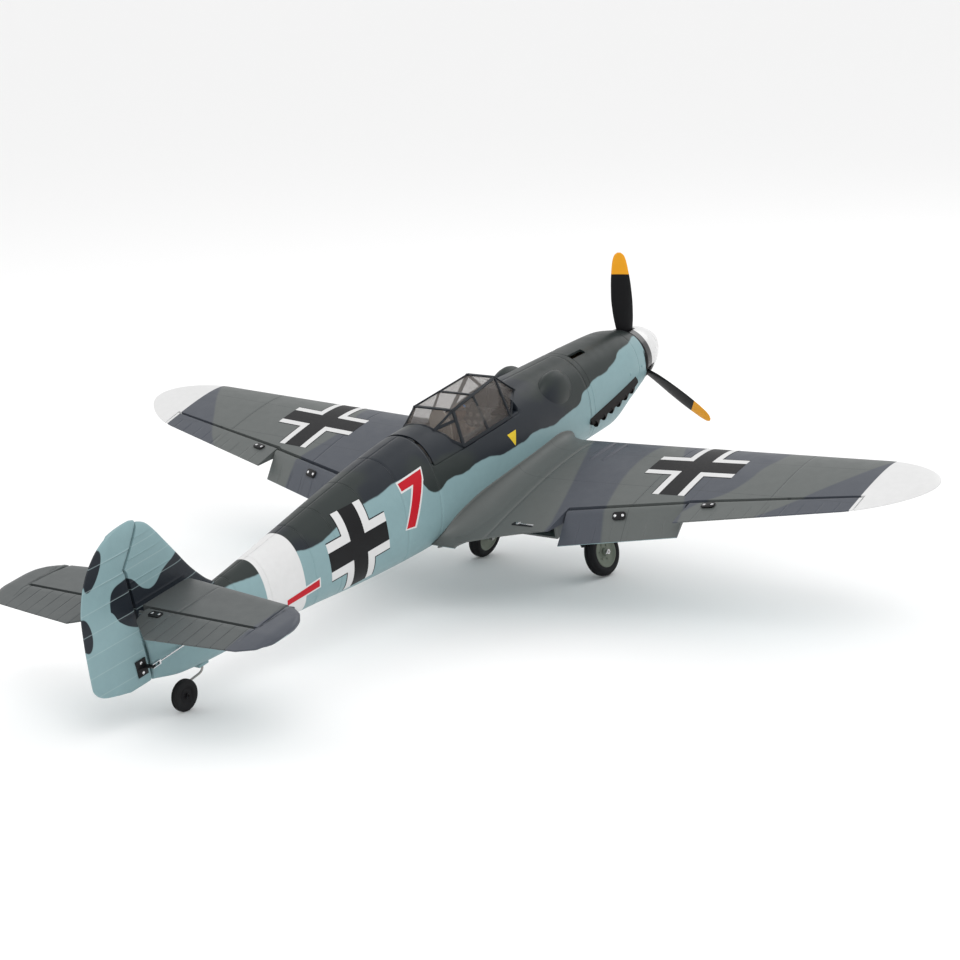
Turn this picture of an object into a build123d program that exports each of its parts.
from build123d import *
import math
import os

# Foam radio-controlled model of a single-engined low-wing warbird.
# Every piece is modelled with the thrust line level: +X to the pilot's left, +Y aft,
# +Z up, origin on the thrust line at the spinner's back plate. stand_location() then sits
# the finished aircraft on its three wheels, nose up, and centres it over the origin.

# ---------------------------------------------------------------- driving dimensions, mm
HALF_SPAN = 634.0
WALL = 7.0                    # foam shell thickness
FIT = 0.05                    # radial running clearance of pins and axles
GAP = 0.8                     # gap round a control surface

# fuselage stations: y, top z, bottom z, half width
STATIONS = [
    (2, 43, -44, 42),
    (40, 53, -55, 47),
    (90, 58, -71, 50),
    (150, 62, -70, 52),
    (230, 67, -70, 55),
    (310, 72, -73, 57),
    (400, 77, -74, 56),
    (490, 80, -73, 52),
    (560, 76, -69, 48),
    (650, 66, -60, 41.5),
    (720, 57, -51, 36),
    (780, 50, -46, 29.5),
    (860, 42, -42, 21),
    (930, 37, -35, 12),
    (978, 34, -21, 5),
]
SQUARENESS = 2.3              # superellipse exponent of the fuselage sections
COWL_END = 160.0

# canopy opening in the top of the fuselage
HATCH_FRONT, HATCH_REAR, HATCH_SILL = 312.0, 492.0, 43.0
PLATE_TOP = 46.0

# wing: straight taper, rounded tip, dihedral and incidence
ROOT_X = 44.0
TIP_START = 540.0
TIP_MIDDLE_Y = 292.0
DIHEDRAL = 0.097
INCIDENCE = math.tan(math.radians(3.0))
ROOT_THICKNESS, TIP_THICKNESS = 0.14, 0.115
FLAP_SPAN = (178.0, 334.5)
AILERON_SPAN = (337.9, 557.0)
BAY_END_GAP = 1.7             # the skewed hinges carry the ends sideways as they turn
FLAP_DROOP = 40.0

# tail
STAB_Z, STAB_THICKNESS = 63.0, 11.0
ELEVATOR_HINGE_Y = 976.0
FIN_THICKNESS = 11.0
RUDDER_HINGE_LOW, RUDDER_HINGE_HIGH = (983.0, -21.0), (988.0, 115.0)

# main gear, left side: the leg turns about the pivot to lie outboard in the wing
PIVOT = Vector(62, 265, -62.5)
LEG_END = Vector(86.7, 245, -182.0)
RETRACT_SWEEP = 12.0          # how far aft the wheel ends up behind the pivot
WHEEL_RADIUS, WHEEL_WIDTH, RIM_RADIUS = 32.0, 17.0, 21.0
WHEEL_OFFSET = 11.7           # wheel centre plane, outboard of the leg
LEG_RADIUS, AXLE_RADIUS = 2.5, 2.0

# tail wheel
TAIL_PIVOT = Vector(0, 899, -38)
TAIL_WHEEL = Vector(0, 935, -63)
TAIL_WHEEL_RADIUS, TAIL_WHEEL_WIDTH = 19.0, 8.5

# propulsion
SPINNER_RADIUS, SPINNER_TIP_Y = 41.0, -80.0
PROP_Y, PROP_RADIUS, PROP_TILT = -11.0, 154.0, -3.7
SHAFT_RADIUS = 2.5

# control linkages: horn radius, distance from hinge to servo axis
AILERON_HORN, AILERON_ROD = 15.0, 62.0
FLAP_HORN, FLAP_ROD = 20.0, 72.0
TAIL_HORN = 16.0
FLAP_HORN_X, AILERON_HORN_X = 250.0, 366.0
HINGE_PIN = 1.0               # radius of the pins at the ends of the flaps and ailerons


# ---------------------------------------------------------------- small helpers
def box(low, high):
    """Box between two opposite corners."""
    size = [b - a for a, b in zip(low, high)]
    middle = [(a + b) / 2 for a, b in zip(low, high)]
    return Pos(*middle) * Box(*size)


def rod(start, end, radius):
    """Round bar between two points."""
    start, end = Vector(*start), Vector(*end)
    return Plane(origin=start, z_dir=end - start) * extrude(Circle(radius), (end - start).length)


def flat_prism(points, plane, depth):
    """Closed polygon drawn on a plane and extruded along the plane's normal."""
    return extrude(plane * make_face(Polyline(*points, close=True)), depth)


def group(shapes):
    return Compound(children=list(shapes))


def each(shape, change):
    """Apply a change to every solid of a piece and keep them as one piece."""
    solids = [change(s) for s in shape.solids()]
    return solids[0] if len(solids) == 1 else group(solids)


def mirrored(shape):
    return each(shape, lambda s: s.mirror(Plane.YZ))


def lerp(a, b, t):
    return a + (b - a) * t


# ---------------------------------------------------------------- fuselage
def hull_section(y, top, bottom, half_width, inset=0.0):
    """Superellipse wire across the fuselage at station y."""
    middle = (top + bottom) / 2
    width = max(half_width - inset, 1.5)
    height = (top - bottom) / 2 - inset
    points = []
    for i in range(24):
        angle = math.tau * i / 24
        c, s = math.cos(angle), math.sin(angle)
        x = width * math.copysign(abs(c) ** (2 / SQUARENESS), c)
        z = height * math.copysign(abs(s) ** (2 / SQUARENESS), s)
        points.append((x, y, middle + z))
    return make_face(Spline(*points, periodic=True))


def hull(stations, inset=0.0):
    return loft([hull_section(*s, inset=inset) for s in stations])


def fuselage_solid():
    """Whole outer body, cut square ahead of the rudder's rounded nose."""
    room = FIN_THICKNESS / 2 + GAP + 0.3
    low, high = -90, 120
    ends = [(rudder_hinge_at(low) - room, low), (rudder_hinge_at(high) - room, high)]
    behind = [*ends, (1040, high), (1040, low)]
    return hull(STATIONS) - flat_prism(behind, Plane.YZ.offset(-30), 60)


def fuselage_hollow():
    """Cavity from behind the nose ring to ahead of the tail post."""
    return hull([s for s in STATIONS[1:-2]], inset=WALL)


def nose_cowl(outer):
    """Moulded cowl with an open back, a front ring and room for the motor."""
    thin = hull([s for s in STATIONS if s[0] <= 230], inset=2.5)
    shell = outer & box((-90, 1, -120), (90, COWL_END - 0.1, 120))
    shell -= thin & box((-90, 6, -120), (90, COWL_END + 1, 120))
    shell -= rod((0, -5, 0), (0, 10, 0), 16)
    cooler_mouth = box((-24, 70, -64), (24, 96, -58)) - thin
    return shell - cooler_mouth


def blister(side):
    """Teardrop gun bulge on the shoulder of the nose."""
    ball = scale(Sphere(1), by=(17, 37, 24))
    return Pos(side * 34, 223, 42) * ball


def supercharger_scoop():
    """Drum-shaped air intake on the left flank, open at the front."""
    drum = rod((56, 172, 8), (56, 226, 8), 15)
    return drum - rod((58, 171, 8), (58, 190, 8), 11)


def fuselage_shell(outer, wings, canopy_clearance):
    body = outer & box((-90, COWL_END, -120), (90, 1000, 120))
    body = body + blister(1) + blister(-1) + supercharger_scoop()
    body -= fuselage_hollow()
    body -= box((-90, HATCH_FRONT, HATCH_SILL), (90, HATCH_REAR, 120))
    body -= canopy_clearance
    for wing in wings:
        body -= wing
    for start, end, radius in spar_lines():
        body -= rod(start, end, radius + FIT)
    body -= rod((0, 899, -60), (0, 899, -8), 2 + FIT)
    for start, end in (elevator_rod_line(), rudder_rod_line()):
        body -= rod(lerp(Vector(*start), Vector(*end), -0.2), end, 2.6)
    return body


def fuselage_halves(outer, wings, canopy_clearance):
    shell = fuselage_shell(outer, wings, canopy_clearance)
    left = shell & box((0, -10, -150), (150, 1100, 150))
    right = shell & box((-150, -10, -150), (0, 1100, 150))
    return largest(left), largest(right)


def largest(shape):
    return max(shape.solids(), key=lambda s: s.volume)


# ---------------------------------------------------------------- wing
def leading_edge(x):
    straight = 200 + 0.07 * (x - 64)
    return tip_round(x, straight)


def trailing_edge(x):
    straight = 478 - 0.229 * (x - 64)
    if x < FLAP_SPAN[0]:
        straight += 28 * ((FLAP_SPAN[0] - x) / (FLAP_SPAN[0] - ROOT_X)) ** 2
    return tip_round(x, straight)


def tip_round(x, straight):
    """Pull the edges together as an ellipse outboard of TIP_START."""
    if x <= TIP_START:
        return straight
    u = (x - TIP_START) / (HALF_SPAN - TIP_START)
    return TIP_MIDDLE_Y + (straight - TIP_MIDDLE_Y) * math.sqrt(max(1 - u * u, 0.0))


def chord_height(x, y):
    """z of the wing's chord plane."""
    return -64.2 + DIHEDRAL * x + (478 - 0.229 * (x - 64) - y) * INCIDENCE


def half_thickness(x, s):
    """NACA four-digit half thickness at chord fraction s."""
    ratio = lerp(ROOT_THICKNESS, TIP_THICKNESS, x / HALF_SPAN)
    chord = trailing_edge(x) - leading_edge(x)
    shape = (0.2969 * math.sqrt(s) - 0.126 * s - 0.3516 * s ** 2 + 0.2843 * s ** 3
             - 0.1015 * s ** 4)
    return 5 * ratio * shape * chord + 0.5 * s


def wing_section(x):
    front, back = leading_edge(x), trailing_edge(x)
    fractions = [0.5 - 0.5 * math.cos(math.pi * i / 12) for i in range(13)]
    upper, lower = [], []
    for s in fractions:
        y = lerp(front, back, s)
        upper.append((x, y, chord_height(x, y) + half_thickness(x, s)))
        lower.append((x, y, chord_height(x, y) - half_thickness(x, s)))
    nose = Spline(*reversed(upper[1:]), upper[0], *lower[1:])
    return make_face(Curve() + nose + Line(lower[-1], upper[-1]))


def wing_blank():
    fillet_spans = [lerp(ROOT_X, FLAP_SPAN[0], i / 4) for i in range(5)]
    reach = HALF_SPAN - TIP_START
    tip_spans = [TIP_START + reach * math.sin(math.radians(a)) for a in (0, 15, 29, 42, 54, 65, 75, 83.5)]
    return loft([wing_section(x) for x in fillet_spans + tip_spans], ruled=True)


def hinge_y(x):
    """Hinge line of flap and aileron, in plan."""
    return 409 - 0.2089 * (x - 178) if x <= 336 else 374 - 0.1674 * (x - 336)


def hinge_point(x):
    return Vector(x, hinge_y(x), chord_height(x, hinge_y(x)))


def hinge_radius(x):
    """Half thickness of the wing at the hinge line."""
    front, back = leading_edge(x), trailing_edge(x)
    return half_thickness(x, (hinge_y(x) - front) / (back - front)) - 0.3


def surface_face(hinge, tail_end, radius, tip_radius, plane_normal):
    """Teardrop section: round nose on the hinge axis, thin trailing edge."""
    aft = (tail_end - hinge).normalized()
    length = (tail_end - hinge).length
    plane = Plane(origin=hinge, x_dir=aft, z_dir=plane_normal)
    nose = ThreePointArc((0, radius), (-radius, 0), (0, -radius))
    lower = Line((0, -radius), (length, -tip_radius))
    end = Line((length, -tip_radius), (length, tip_radius))
    upper = Line((length, tip_radius), (0, radius))
    return plane * make_face(Curve() + nose + lower + end + upper)


def wing_surface(span):
    """Neutral flap or aileron between two spanwise stations."""
    faces = []
    for x in span:
        y = trailing_edge(x) - 0.5
        tail_end = Vector(x, y, chord_height(x, y))
        faces.append(surface_face(hinge_point(x), tail_end, hinge_radius(x), 0.8, (1, 0, 0)))
    return loft(faces, ruled=True)


def hinge_pin(span, x, radius, length):
    """Pin on the hinge line, across one end of a flap or aileron."""
    along = hinge_axis(span).direction
    return rod(hinge_point(x) - along * length, hinge_point(x) + along * length, radius)


def bay_cutter(span):
    """Vertical prism that clears a control surface out of the wing."""
    inner, outer = span[0] - BAY_END_GAP, span[1] + BAY_END_GAP
    front_in = hinge_y(span[0]) - hinge_radius(span[0]) - GAP
    front_out = hinge_y(span[1]) - hinge_radius(span[1]) - GAP
    outline = [(inner, front_in), (outer, front_out), (outer, 560), (inner, 560)]
    return flat_prism(outline, Plane.XY.offset(-120), 240)


def hinge_axis(span):
    a, b = hinge_point(span[0]), hinge_point(span[1])
    return Axis(a, b - a)


def drooped(shape):
    return each(shape, lambda s: s.rotate(hinge_axis(FLAP_SPAN), -FLAP_DROOP))


def linkage_plane(span, x):
    """Local frame on a hinge line: x aft, y up, z outboard along the hinge."""
    axis = hinge_axis(span)
    aft = Vector(0, 1, 0) - axis.direction * axis.direction.dot(Vector(0, 1, 0))
    return Plane(origin=hinge_point(x), x_dir=aft, z_dir=axis.direction)


def servo_cutter(plane, back):
    """Pocket in the underside of the wing for a servo and its arm."""
    return plane * box((-back - 13, -60, -29), (-back + 14, 6.5, 4))


def wing_panel():
    wing = wing_blank()
    wing -= bay_cutter(FLAP_SPAN)
    wing -= bay_cutter(AILERON_SPAN)
    wing -= servo_cutter(linkage_plane(FLAP_SPAN, FLAP_HORN_X), FLAP_ROD)
    wing -= servo_cutter(linkage_plane(AILERON_SPAN, AILERON_HORN_X), AILERON_ROD)
    wing -= wheel_well()
    for start, end, radius in spar_lines():
        wing -= rod(start, end, radius + FIT)
    for start, end in bolt_lines(1):
        wing -= rod(start, end + Vector(0, 0, 0.2), 2.0 + FIT)
        wing -= rod(start - Vector(0, 0, 30), start, 3.8)
    for span, x in ((FLAP_SPAN, FLAP_SPAN[0]), (AILERON_SPAN, AILERON_SPAN[1])):
        wing -= hinge_pin(span, x, HINGE_PIN + FIT, 6)
    wing -= trunnion_plane() * box((-12.8, -11.8, -10.2), (12.8, 11.8, 32.8))
    return largest(wing)


def spar_lines():
    """Main and rear carbon joiner tubes, straight through the fuselage."""
    return [((-180, 330, -49), (180, 330, -49), 4.0), ((-110, 400, -53), (110, 400, -53), 3.0)]


def spar_tubes():
    tubes = []
    for start, end, radius in spar_lines():
        tubes.append(rod(start, end, radius) - rod(start, end, radius - 1))
    return group(tubes)


def bolt_lines(side):
    """Wing retaining screws, driven up from under each root."""
    return [(Vector(side * 72, y, z), Vector(side * 72, y, z + 14)) for y, z in ((225, -66), (365, -64))]


def wing_bolts():
    bolts = []
    for side in (1, -1):
        for start, end in bolt_lines(side):
            head = rod(start - Vector(0, 0, 1.4), start, 3.6)
            bolts.append(rod(start, end, 2.0) + head)
    return group(bolts)


def radiator(side):
    """Shallow ducted radiator under the inner wing."""
    duct = box((88, 346, -74), (164, 420, -50))
    duct -= box((91, 340, -71.5), (161, 430, -56))
    duct -= wing_blank()
    scoop = largest(duct)
    return scoop if side > 0 else mirrored(scoop)


# ---------------------------------------------------------------- main landing gear
def leg_plane():
    """Frame of the lowered leg: x down the leg, z outboard along the axle."""
    down = LEG_END - PIVOT
    axle = Vector(-down.Z, 0, down.X)
    return Plane(origin=PIVOT, x_dir=down, z_dir=axle)


def stowed_plane():
    """The same frame with the leg folded out into the wing."""
    length = (LEG_END - PIVOT).length
    out = Vector(length, RETRACT_SWEEP, DIHEDRAL * length)
    up = Vector(-DIHEDRAL, 0, 1)
    up = up - out.normalized() * up.dot(out.normalized())
    return Plane(origin=PIVOT, x_dir=out, z_dir=up)


def retract_motion():
    """Axis and angle that carry the lowered frame into the stowed frame."""
    a, b = leg_plane(), stowed_plane()
    pairs = [(a.x_dir, b.x_dir), (a.y_dir, b.y_dir), (a.z_dir, b.z_dir)]
    trace = sum(p.dot(q) for p, q in pairs)
    angle = math.degrees(math.acos((trace - 1) / 2))
    turn = Vector(0, 0, 0)
    for p, q in pairs:
        turn = turn + p.cross(q)
    return turn.normalized(), angle


def trunnion_plane():
    axis, _ = retract_motion()
    down = leg_plane().x_dir
    down = down - axis * down.dot(axis)
    return Plane(origin=PIVOT, x_dir=down, z_dir=axis)


def leg_length():
    return (LEG_END - PIVOT).length


def gear_leg():
    """Strut, trunnion and stub axle in one bent piece, with its wheel collar."""
    plane = leg_plane()
    length = leg_length()
    strut = rod((0, 0, 0), (length, 0, 0), LEG_RADIUS) + rod((16, 0, 0), (length - 34, 0, 0), 3.6)
    far = WHEEL_OFFSET + WHEEL_WIDTH / 2
    axle = rod((length, 0, -2.5), (length, 0, far + 3), AXLE_RADIUS)
    knuckle = rod((length, 0, -2.8), (length, 0, 2.6), 4.2)
    body = plane * (strut + axle + knuckle)
    pin = trunnion_plane() * rod((0, 0, -9.6), (0, 0, 9.6), 2.0)
    hub = trunnion_plane() * rod((0, 0, -4.4), (0, 0, 4.4), 5.0)
    collar = plane * (rod((length, 0, far + 0.6), (length, 0, far + 3.4), 3.6)
                      - rod((length, 0, far), (length, 0, far + 3), AXLE_RADIUS))
    return group([body + pin + hub, collar])


def gear_door():
    """Thin cover on the inboard side of the leg, flush under the wing when stowed."""
    low, length = -4.9, leg_length()
    outline = [(17, -15), (17, 15), (66, 19), (length - 18, 15), (length - 12, 4),
               (length - 15, -8), (length - 22, -17), (66, -19)]
    plate = flat_prism(outline, Plane.XY.offset(low), 1.2)
    clips = box((30, -5, low + 1.2), (36, 5, -2.6)) + box((70, -5, low + 1.2), (76, 5, -2.6))
    clips -= rod((0, 0, 0), (length, 0, 0), 3.6)
    return leg_plane() * (plate + clips)


def tyre():
    outer = fillet(Cylinder(WHEEL_RADIUS, WHEEL_WIDTH).edges(), 7.0)
    ring = outer - Cylinder(RIM_RADIUS, WHEEL_WIDTH + 2)
    return leg_plane() * Pos(leg_length(), 0, WHEEL_OFFSET) * ring


def rim():
    disc = Cylinder(RIM_RADIUS, WHEEL_WIDTH - 3)
    dish = Pos(0, 0, 6.5) * (Cylinder(17, 5) - Cylinder(6, 5))
    back = Pos(0, 0, -6.5) * (Cylinder(17, 5) - Cylinder(6, 5))
    hub = Cylinder(5.5, WHEEL_WIDTH - 0.6)
    wheel = disc - dish - back + hub - Cylinder(AXLE_RADIUS + FIT, 40)
    return leg_plane() * Pos(leg_length(), 0, WHEEL_OFFSET) * wheel


def wheel_well():
    """Hollow for wheel, leg and retract unit, cut from the wing's underside."""
    plane, length = stowed_plane(), leg_length()
    top = WHEEL_OFFSET + WHEEL_WIDTH / 2 + 4.5
    disc = plane * rod((length, 0, -30), (length, 0, top), WHEEL_RADIUS + 3)
    channel = plane * box((-6, -8, -30), (length, 8, 7))
    unit = box((48, 247, -90), (80, 304, -43))
    door = plane * box((14, -20.5, -30), (length - 9, 20.5, -3.0))
    return disc + channel + unit + door


def retract_unit():
    """Two cheeks on a bridge, with the electric actuator behind them."""
    cheek = Box(24, 22, 4.2) - Cylinder(2.0 + FIT, 6)
    front, rear = Pos(0, 0, -7.4) * cheek, Pos(0, 0, 7.4) * cheek
    bridge = Pos(-10.5, 0, 0) * Box(3, 22, 12)
    actuator = Pos(-3, 0, 21) * Box(17, 18, 22)
    return trunnion_plane() * (front + rear + bridge + actuator)


# ---------------------------------------------------------------- wing linkages
def clevis(pin, toward):
    """Forked end piece round a pin at the origin of the fork, in a local XY plane."""
    direction = (toward - pin).normalized()
    plane = Plane(origin=pin, x_dir=direction, z_dir=(0, 0, 1))
    prongs = box((-3, -2, 1.2), (9, 2, 2.2)) + box((-3, -2, -2.2), (9, 2, -1.2))
    return plane * (prongs + box((6.5, -2, -2.2), (9, 2, 2.2)) + rod((0, 0, -2.6), (0, 0, 2.6), 0.7))


def horn(radius, skin, slope):
    """Horn plate under the surface, back plate over it and the two screw heads."""
    outline = [(1.5, -skin - 0.3), (14, -skin + 1.4), (14, -skin - 1.5), (3, -radius - 2.4),
               (-1.8, -radius - 1.5), (-1.8, -radius + 1.8)]
    plate = flat_prism(outline, Plane.XY.offset(-0.8), 1.6)
    plate -= Pos(0, -radius, 0) * Cylinder(0.7 + FIT, 6)
    tilt = Pos(8, 0, 0) * Rot(0, 0, -slope)
    cover = tilt * box((-4.5, skin - 0.6, -6.5), (4.5, skin + 0.5, 6.5))
    screws = [tilt * rod((0, skin + 0.55, z), (0, skin + 1.2, z), 1.6) for z in (-3.6, 3.6)]
    return [plate, cover, *screws]


def wing_horn(span, x, radius):
    """Control horn clamped through a flap or aileron, in the neutral position."""
    skin = hinge_radius(x)
    length = trailing_edge(x) - hinge_y(x)
    slope = math.degrees(math.atan2(skin - 0.8, length))
    plane = linkage_plane(span, x)
    return group([plane * part for part in horn(radius, skin, slope)])


def seated(surface, control_horn):
    """Surface with a clearance cut for the horn parts let into it."""
    for part in control_horn.solids():
        surface = surface - part
    return surface


def pinned(span, end):
    """Flap or aileron with the hinge pin at one end."""
    return wing_surface(span) + hinge_pin(span, end, HINGE_PIN, 4.5)


def servo_arm(span, x, radius, back, turn):
    """Arm on the servo's output shaft, turned by the surface's own angle."""
    outline = [(-2.6, 0), (2.6, 0), (1.8, -radius - 2), (-1.8, -radius - 2)]
    arm = flat_prism(outline, Plane.XY.offset(-0.8), 1.6)
    arm += Cylinder(3.4, 1.6) + Pos(0, 0, -1.4) * Cylinder(2.6, 2.8)
    arm -= Pos(0, -radius, 0) * Cylinder(0.7 + FIT, 6)
    return linkage_plane(span, x) * Pos(-back, 0, 0) * Rot(0, 0, turn) * arm


def servo(span, x, back):
    """Small servo lying on its side, output shaft along the hinge line."""
    case = box((-back - 11.5, -6, -26), (-back + 12, 5.5, -3.2))
    lugs = box((-back - 12.8, -6, -12), (-back + 13.8, 5.5, -10))
    return linkage_plane(span, x) * (case + lugs)


def pushrod(span, x, radius, back, turn):
    """Wire rod with a clevis at each end, from servo arm to horn."""
    angle = math.radians(turn)
    offset = Vector(radius * math.sin(angle), -radius * math.cos(angle), 0)
    rear, front = offset, offset + Vector(-back, 0, 0)
    wire = rod(front + Vector(6.6, 0, 0), rear - Vector(6.6, 0, 0), 0.9)
    link = wire + clevis(front, rear) + clevis(rear, front)
    return linkage_plane(span, x) * link


# ---------------------------------------------------------------- tail
def fin_plate(points):
    """Flat plate on the centreline, drawn in side view."""
    return flat_prism(points, Plane.YZ.offset(-FIN_THICKNESS / 2), FIN_THICKNESS)


FIN_OUTLINE = [(846, 30), (848, 39), (866, 54), (885, 77), (901, 102), (915, 124), (926, 141),
               (938, 155), (944, 156)]
RUDDER_BACK = [(949, 163), (965, 166), (981, 164), (1002, 158), (1021, 146), (1037, 129),
               (1048, 109), (1055, 88), (1058, 65), (1060, 41), (1061.5, 6), (1057, -3), (1049, -9)]


def rudder_hinge_at(z):
    (y0, z0), (y1, z1) = RUDDER_HINGE_LOW, RUDDER_HINGE_HIGH
    return y0 + (y1 - y0) * (z - z0) / (z1 - z0)


def tail_fin():
    """Fin between the fuselage top and the rudder, with a slot for the stabiliser."""
    back = FIN_THICKNESS / 2 + GAP
    outline = FIN_OUTLINE + [(RUDDER_HINGE_HIGH[0] - back - 1, 112), (rudder_hinge_at(30) - back, 30)]
    fin = fin_plate(outline)
    fin = fin - fuselage_solid() - stabiliser_blank()
    fin -= rod((-20, ELEVATOR_HINGE_Y, STAB_Z), (20, ELEVATOR_HINGE_Y, STAB_Z), 8)
    return group(s for s in fin.solids() if s.volume > 50)


def rudder():
    """Rudder with a rounded nose on the hinge line and a horn balance at the top."""
    (y0, z0), (y1, z1) = RUDDER_HINGE_LOW, RUDDER_HINGE_HIGH
    outline = [(y0, z0), (y1, z1), (946.5, 158)] + RUDDER_BACK
    plate = fin_plate(outline)
    low, high = Vector(0, y0, z0), Vector(0, y1, z1)
    nose = rod(low, high, FIN_THICKNESS / 2)
    below = box((-20, 900, z0 - 30), (20, 1100, z0 - 5))
    wedge = tail_wedge(plate, y0)
    return largest(wedge + nose - below)


def tail_wedge(plate, start):
    """Taper a tail plate from full thickness at the hinge to a thin trailing edge."""
    half = FIN_THICKNESS / 2
    section = [(-half, start - 60), (half, start - 60), (half, start + 6), (1.2, start + 90),
               (-1.2, start + 90), (-half, start + 6)]
    return plate & flat_prism(section, Plane.XY.offset(-60), 300)


def stab_front(x):
    return 889 + 0.117 * x


def stabiliser_outline(side):
    """Fixed tailplane in plan, hinge edge last."""
    back = STAB_THICKNESS / 2 + GAP
    points = [(0, stab_front(0)), (90, stab_front(90)), (160, stab_front(160)), (170.2, 908.6),
              (176.4, ELEVATOR_HINGE_Y - back), (0, ELEVATOR_HINGE_Y - back)]
    return [(side * x, y) for x, y in points]


def stabiliser_blank():
    halves = []
    for side in (1, -1):
        plane = Plane.XY.offset(STAB_Z - STAB_THICKNESS / 2)
        halves.append(flat_prism(stabiliser_outline(side), plane, STAB_THICKNESS))
    return halves[0] + halves[1]


def elevator_half(side):
    """Elevator outboard of the rudder's sweep, with a balance horn at the tip."""
    y = ELEVATOR_HINGE_Y
    outline = [(18, y), (178, y), (171.9, 910.2), (184, 914.3), (194, 920.5), (203, 931), (209.5, 945),
               (212, 960), (211, 985), (203, 1004), (183, 1015), (125, 1021), (60, 1027)]
    outline = [(side * a, b) for a, b in outline]
    plate = flat_prism(outline, Plane.XY.offset(STAB_Z - STAB_THICKNESS / 2), STAB_THICKNESS)
    half = STAB_THICKNESS / 2
    section = [(y - 70, STAB_Z - half), (y - 70, STAB_Z + half), (y + 5, STAB_Z + half),
               (y + 62, STAB_Z + 1), (y + 62, STAB_Z - 1), (y + 5, STAB_Z - half)]
    wedge = plate & flat_prism(section, Plane.YZ.offset(-250), 500)
    nose = rod((side * 18, y, STAB_Z), (side * 178, y, STAB_Z), half)
    return wedge + nose


def elevator():
    """Both elevators on one joiner wire behind the fin."""
    joiner = rod((-24, ELEVATOR_HINGE_Y, STAB_Z), (24, ELEVATOR_HINGE_Y, STAB_Z), 2.0)
    left, right = elevator_half(1) - joiner, elevator_half(-1) - joiner
    return group([*left.solids(), *right.solids(), *joiner.solids()])


def elevator_plane():
    return Plane(origin=(-38, ELEVATOR_HINGE_Y, STAB_Z), x_dir=(0, 1, 0), z_dir=(1, 0, 0))


def rudder_plane():
    """On the rudder hinge near its foot: x aft, y to the pilot's right."""
    (y0, z0), (y1, z1) = RUDDER_HINGE_LOW, RUDDER_HINGE_HIGH
    up = Vector(0, y1 - y0, z1 - z0).normalized()
    aft = Vector(0, up.Z, -up.Y)
    return Plane(origin=(0, rudder_hinge_at(2), 2), x_dir=aft, z_dir=up)


def tail_horn(plane, upward):
    """Horn below the elevator or on the rudder's right side, with its back plate."""
    parts = horn(TAIL_HORN, FIN_THICKNESS / 2, 3.0)
    if not upward:
        parts = [p.mirror(Plane.XZ) for p in parts]
    return group([plane * p for p in parts])


def elevator_rod_line():
    pin = elevator_plane().from_local_coords(Vector(0, -TAIL_HORN, 0))
    return (-16, 840, 18), tuple(pin)


def rudder_rod_line():
    pin = rudder_plane().from_local_coords(Vector(0, TAIL_HORN, 0))
    return (-9, 850, 0), tuple(pin)


def tail_pushrod(line, normal):
    """Rod sliding in the tail, with a slotted clevis round the horn."""
    start, end = Vector(*line[0]), Vector(*line[1])
    along = (start - end).normalized()
    wire = rod(start, end + along * 9, 0.9)
    plane = Plane(origin=end, x_dir=along, z_dir=normal)
    prongs = box((-2.4, -2.0, 1.8), (11, 2.0, 2.6)) + box((-2.4, -2.0, -2.6), (11, 2.0, -1.8))
    return wire + plane * (prongs + box((8.5, -2.0, -2.6), (11, 2.0, 2.6)))


def tail_servos():
    """Elevator and rudder servos side by side on the fuselage floor."""
    cases = []
    for x in (-20, 8):
        cases.append(box((x, 530, -48), (x + 12, 553, -24)) + box((x, 524, -31), (x + 12, 559, -29)))
    return group(cases)


# ---------------------------------------------------------------- tail wheel
def tail_strut():
    """Sprung wire leg that steers with the rudder; the axle is its bent end."""
    side = TAIL_WHEEL_WIDTH / 2 + 2.2
    points = [(0, 899, -10), (0, 899, -50), (side, 921, -57), (side, 935, -63)]
    pieces = [rod(a, b, 1.4) for a, b in zip(points, points[1:])]
    joints = [Pos(*p) * Sphere(1.4) for p in points[1:]]
    axle = rod((side, 935, -63), (-TAIL_WHEEL_WIDTH / 2 - 2.4, 935, -63), 1.4)
    wire = pieces[0]
    for piece in pieces[1:] + joints + [axle]:
        wire += piece
    return wire


def tail_wheel():
    disc = fillet(Cylinder(TAIL_WHEEL_RADIUS, TAIL_WHEEL_WIDTH).edges(), 3.0)
    disc -= Cylinder(1.4 + FIT, 20)
    return Plane(origin=TAIL_WHEEL, z_dir=(1, 0, 0)) * disc


# ---------------------------------------------------------------- canopy hatch and cockpit
CANOPY_POINTS = {
    "deck": (27, 287, 64.5), "bow": (9, 284, 70.3), "side": (48.5, 330, 46), "hoop": (22, 317, 93),
    "rear": (31, 421, 88), "spine": (24.5, 456, 74.5), "crown": (10, 456, 78.7),
    "flank": (42.3, 445, 57), "foot": (49, 433, 46)}
MIDDLE_TOP, MIDDLE_LOW = (26.5, 372, 90.4), (48.7, 380, 46)
POST_JOINT = (35.9, 424.2, 76.7)
HATCH_WALL = 3.0


def canopy_point(x, y, z, grow=0.0):
    return (x * (1 + grow / 36), 376 + (y - 376) * (1 + grow / 80), 46 + (z - 46) * (1 + grow / 42))


def canopy_hull(grow=0.0):
    """Flat-sided canopy volume, grown or shrunk about its middle."""
    corners = []
    for side in (1, -1):
        for x, y, z in CANOPY_POINTS.values():
            corners.append(canopy_point(side * x, y, z, grow))
    return ConvexPolyhedron(corners)


def above_sill(shape, height):
    return shape & box((-80, 270, height), (80, 520, 140))


def canopy_glass():
    """Clear panes, ending on the fuselage skin in front and behind."""
    shell = canopy_hull() - canopy_hull(-1.3)
    return largest(above_sill(shell, PLATE_TOP) - hull(STATIONS, inset=-0.15))


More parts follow.
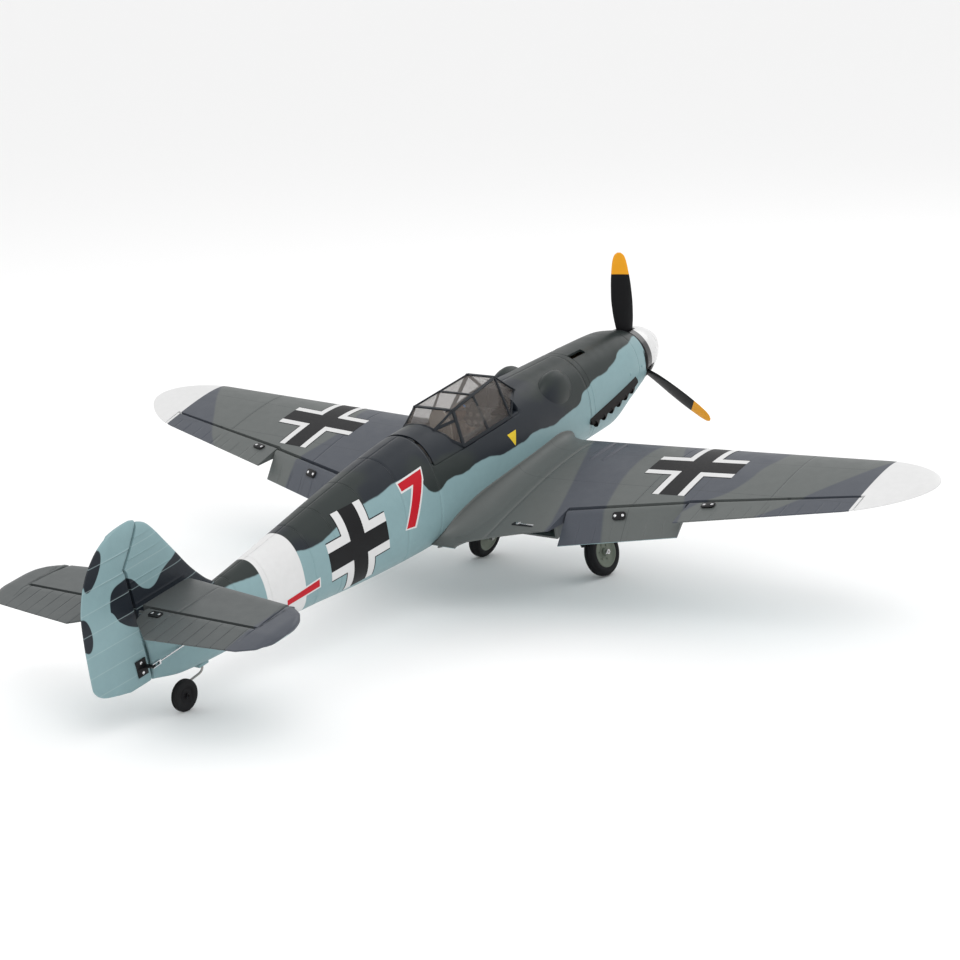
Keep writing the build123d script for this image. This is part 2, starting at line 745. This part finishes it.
def canopy_bars():
    """Centre lines of the frame, left side: pairs of points on the canopy's corners."""
    at = CANOPY_POINTS
    return [(at["deck"], at["hoop"]), (at["side"], at["hoop"]), (at["hoop"], at["rear"]),
            (MIDDLE_TOP, MIDDLE_LOW), (at["rear"], at["foot"]), (POST_JOINT, at["spine"]),
            (at["side"], at["foot"])]


def hatch_tail(outer):
    """Skin of the hatch behind the canopy, following the fuselage's own shape."""
    rear = box((-90, 431, HATCH_SILL + 0.4), (90, HATCH_REAR - 0.4, 120))
    return (outer & rear) - hull(STATIONS, inset=HATCH_WALL)


def canopy_frame(outer):
    """Bars over the glass, fused to the hatch plate that fills the opening."""
    hatch = box((-90, HATCH_FRONT + 0.4, HATCH_SILL + 0.4), (90, HATCH_REAR - 0.4, PLATE_TOP))
    frame = (outer & hatch) + hatch_tail(outer) - box((-30, 334, 0), (30, 478, 60))
    bars = canopy_bars()
    bars += [((-a[0], a[1], a[2]), (-b[0], b[1], b[2])) for a, b in bars]
    for x, y, z in (CANOPY_POINTS["hoop"], MIDDLE_TOP, CANOPY_POINTS["rear"]):
        bars.append(((-x, y, z), (x, y, z)))
    solid = canopy_hull()
    for a, b in bars:
        frame += above_sill(rod(a, b, 2.2) - solid, PLATE_TOP - 1)
    front_deck = outer & box((-90, 200, 0), (90, HATCH_FRONT + 0.4, 120))
    return largest(frame - solid - front_deck)


def cockpit_tub():
    """Open tray with a seat, hung from the hatch plate."""
    tub = box((-29.8, 334.2, 8), (29.8, 477.8, 45.8)) - box((-28, 336, 10), (28, 476, 60))
    seat = box((-18, 408, 10), (18, 412, 62)) + box((-18, 380, 10), (18, 408, 16))
    panel = box((-26, 340, 10), (26, 343, 56))
    return tub + seat + panel


def pilot_figure():
    """Seated figure with a plain head, shoulders, arms and legs."""
    trunk = Pos(0, 397, 36) * scale(Sphere(1), by=(17, 10, 20))
    shoulders = rod((-17, 398, 50), (17, 398, 50), 6)
    neck = rod((0, 398, 52), (0, 397, 62), 5)
    head = Pos(0, 396, 70) * scale(Sphere(1), by=(9, 10.5, 12))
    arms = [rod((s * 19, 398, 49), (s * 20, 380, 32), 4.5) + rod((s * 20, 380, 32), (s * 6, 364, 30), 4)
            for s in (1, -1)]
    thighs = [rod((s * 8, 395, 23), (s * 10, 364, 23), 6) for s in (1, -1)]
    figure = trunk + shoulders + neck + head
    for limb in arms + thighs:
        figure += limb
    return figure - box((-18, 408, 10), (18, 412, 62)) - box((-18, 380, 10), (18, 408, 16))


# ---------------------------------------------------------------- propulsion and electronics
def spinner_solid(shrink, back):
    """Ogive of revolution about the thrust line, closed by a flat back."""
    r, tip = SPINNER_RADIUS - shrink, SPINNER_TIP_Y + shrink
    curve = Spline((0, tip), (r - 33, tip + 4), (r - 21, -64), (r - 8, -43), (r - 1.5, -22), (r, back))
    outline = Curve() + curve + Polyline((r, back), (0, back), (0, tip))
    return revolve(make_face(outline), Axis.Y)


def blade_slots():
    slots = []
    for i in range(3):
        slots.append(Rot(0, PROP_TILT + 120 * i, 0) * box((-11.5, PROP_Y - 12, 14), (11.5, -4.0, 60)))
    return slots


def spinner():
    shell = spinner_solid(0, -4) - spinner_solid(2.0, -3.9)
    for slot in blade_slots():
        shell -= slot
    return largest(shell)


def spinner_backplate():
    disc = rod((0, -3.9, 0), (0, -1, 0), SPINNER_RADIUS)
    return disc - rod((0, -6, 0), (0, 1, 0), SHAFT_RADIUS)


def blade():
    """Twisted blade along +Z."""
    sections = [(8, 8, 12, 60), (30, 18, 9, 48), (60, 29, 6, 33), (100, 29, 4, 24),
                (135, 22, 2.6, 19), (PROP_RADIUS, 9, 1.4, 17)]
    faces = []
    for height, chord, thickness, pitch in sections:
        section = Ellipse(chord / 2, thickness / 2, rotation=pitch)
        faces.append(Pos(0, PROP_Y, height) * section)
    return loft(faces)


def propeller():
    """Moulded three-bladed propeller."""
    prop = rod((0, PROP_Y - 8, 0), (0, -4, 0), 13)
    for i in range(3):
        prop += Rot(0, PROP_TILT + 120 * i, 0) * blade()
    prop &= box((-200, -30, -200), (200, -4, 200))
    return prop - rod((0, -40, 0), (0, 10, 0), SHAFT_RADIUS)


def motor_shaft():
    """Steel shaft with the propeller nut run down onto the hub."""
    shaft = rod((0, PROP_Y - 20, 0), (0, 58, 0), SHAFT_RADIUS)
    nut = Plane(origin=(0, PROP_Y - 8, 0), z_dir=(0, -1, 0)) * extrude(RegularPolygon(6, 6), 6)
    return group([shaft, nut - rod((0, -60, 0), (0, 10, 0), SHAFT_RADIUS)])


def motor_bell():
    can = rod((0, 20, 0), (0, 50, 0), 18) - rod((0, 23, 0), (0, 51, 0), 16.4)
    return can - rod((0, 10, 0), (0, 60, 0), SHAFT_RADIUS)


def motor_stator():
    """Wound stator on its bearing tube and four-armed mounting cross."""
    core = rod((0, 24.5, 0), (0, 49, 0), 15.4) + rod((0, 49, 0), (0, 56, 0), 8)
    cross = box((-26, 56, -5), (26, 59.9, 5)) + box((-5, 56, -26), (5, 59.9, 26))
    return core + cross - rod((0, 0, 0), (0, 70, 0), SHAFT_RADIUS + FIT)


def firewall():
    plate = hull([s for s in STATIONS if s[0] <= 230], inset=2.6) & box((-90, 60, -90), (90, 66, 90))
    return plate - box((-14, 50, -60), (14, 80, -40))


def battery():
    return box((-22, 190, -40), (22, 320, -6))


def speed_controller():
    return box((-16, 80, -42), (16, 142, -30))


def receiver():
    return box((-12, 440, -40), (12, 480, -26))


def exhaust_stack():
    """Fairing strip with six swept-back stubs along the left side of the cowl."""
    parts = rod((45, 42, -18), (47, 158, -29.5), 5.5)
    for i in range(6):
        y = 48 + 19.5 * i
        z = -20 - 2.4 * i
        parts += rod((46, y, z), (55, y + 15, z - 3), 4.6)
    clearance = hull(STATIONS, inset=-0.15)
    return largest(parts - clearance - box((-90, 0, -80), (40, 300, 80)))


# ---------------------------------------------------------------- assembly
def ground_pose():
    """Pitch that puts all three wheels on the ground, and the ground height after it."""
    main = leg_plane().from_local_coords(Vector(leg_length(), 0, WHEEL_OFFSET))
    tilt_radius = main_wheel_reach()
    dy, dz = TAIL_WHEEL.Y - main.Y, TAIL_WHEEL.Z - main.Z
    distance = math.hypot(dy, dz)
    pitch = math.atan2(dz, dy) + math.asin((tilt_radius - TAIL_WHEEL_RADIUS) / distance)
    low = main.Y * math.sin(-pitch) + main.Z * math.cos(pitch) - tilt_radius
    return math.degrees(pitch), low


def main_wheel_reach():
    """Distance from the splayed wheel's centre to the ground: rounded tyre on a tilted axle."""
    lean = math.atan2(leg_plane().z_dir.Z, leg_plane().z_dir.X)
    corner = 7.0
    half = WHEEL_WIDTH / 2 - corner
    return (WHEEL_RADIUS - corner) * math.cos(lean) + half * math.sin(lean) + corner


def stand_location(middle_y):
    pitch, low = ground_pose()
    return Pos(0, -middle_y, -low) * Rot(-pitch, 0, 0)


def pair(name, left):
    return {name + "_left": left, name + "_right": mirrored(left)}


def wing_nodes():
    nodes = pair("wing_panel", wing_panel())
    aileron = (AILERON_SPAN, AILERON_HORN_X, AILERON_HORN)
    flap = (FLAP_SPAN, FLAP_HORN_X, FLAP_HORN)
    aileron_horn, flap_horn = wing_horn(*aileron), wing_horn(*flap)
    nodes.update(pair("aileron", seated(pinned(AILERON_SPAN, AILERON_SPAN[1]), aileron_horn)))
    nodes.update(pair("flap", drooped(seated(pinned(FLAP_SPAN, FLAP_SPAN[0]), flap_horn))))
    nodes.update(pair("aileron_horn", aileron_horn))
    nodes.update(pair("flap_horn", drooped(flap_horn)))
    nodes.update(pair("aileron_servo_arm", servo_arm(*aileron, AILERON_ROD, 0)))
    nodes.update(pair("flap_servo_arm", servo_arm(*flap, FLAP_ROD, -FLAP_DROOP)))
    nodes.update(pair("aileron_pushrod", pushrod(*aileron, AILERON_ROD, 0)))
    nodes.update(pair("flap_pushrod", pushrod(*flap, FLAP_ROD, -FLAP_DROOP)))
    left = [servo(AILERON_SPAN, AILERON_HORN_X, AILERON_ROD), servo(FLAP_SPAN, FLAP_HORN_X, FLAP_ROD)]
    nodes["wing_servos"] = group(left + [mirrored(s) for s in left])
    nodes["wing_spar_tubes"] = spar_tubes()
    nodes["wing_bolts"] = wing_bolts()
    nodes["wing_radiators"] = group([radiator(1), radiator(-1)])
    return nodes


def gear_nodes():
    nodes = pair("gear_leg", gear_leg())
    nodes.update(pair("gear_door", gear_door()))
    nodes.update(pair("main_tyre", tyre()))
    nodes.update(pair("main_rim", rim()))
    unit = retract_unit()
    nodes["retract_units"] = group([unit, mirrored(unit)])
    nodes["tail_wheel_strut"] = tail_strut()
    nodes["tail_wheel"] = tail_wheel()
    return nodes


def tail_nodes():
    elevator_horn, rudder_horn = tail_horn(elevator_plane(), True), tail_horn(rudder_plane(), False)
    return {
        "tail_fin": tail_fin(),
        "rudder": seated(rudder(), rudder_horn),
        "stabiliser": stabiliser_blank(),
        "elevator": each(elevator(), lambda s: seated(s, elevator_horn)),
        "elevator_horn": elevator_horn,
        "rudder_horn": rudder_horn,
        "elevator_pushrod": tail_pushrod(elevator_rod_line(), (1, 0, 0)),
        "rudder_pushrod": tail_pushrod(rudder_rod_line(), (0, 0, 1)),
        "tail_servos": tail_servos(),
    }


def power_nodes(outer):
    stack = exhaust_stack()
    return {
        "nose_cowl": nose_cowl(outer),
        "spinner": spinner(),
        "spinner_backplate": spinner_backplate(),
        "propeller": propeller(),
        "motor_shaft": motor_shaft(),
        "motor_bell": motor_bell(),
        "motor_stator": motor_stator(),
        "firewall": firewall(),
        "battery": battery(),
        "speed_controller": speed_controller(),
        "receiver": receiver(),
        "exhaust_stacks": group([stack, mirrored(stack)]),
    }


def cabin_nodes(outer, wings):
    clearance = canopy_hull(0.5)
    left, right = fuselage_halves(outer, wings, clearance)
    return {
        "fuselage_left_half": left,
        "fuselage_right_half": right,
        "canopy_frame": canopy_frame(outer),
        "canopy_glass": canopy_glass(),
        "cockpit_tub": cockpit_tub(),
        "pilot_figure": pilot_figure(),
    }


def main():
    os.makedirs("parts", exist_ok=True)
    outer = fuselage_solid()
    nodes = wing_nodes()
    blank = wing_blank()
    nodes.update(gear_nodes())
    nodes.update(tail_nodes())
    nodes.update(power_nodes(outer))
    nodes.update(cabin_nodes(outer, [blank, mirrored(blank)]))
    level = stand_location(0)
    boxes = [shape.moved(level).bounding_box() for shape in nodes.values()]
    middle_y = (min(b.min.Y for b in boxes) + max(b.max.Y for b in boxes)) / 2
    stand = stand_location(middle_y)
    for name, shape in nodes.items():
        export_step(shape.moved(stand), f"parts/{name}.step")
    print(len(nodes), "nodes, pitch and ground", ground_pose(), "middle", middle_y)


main()
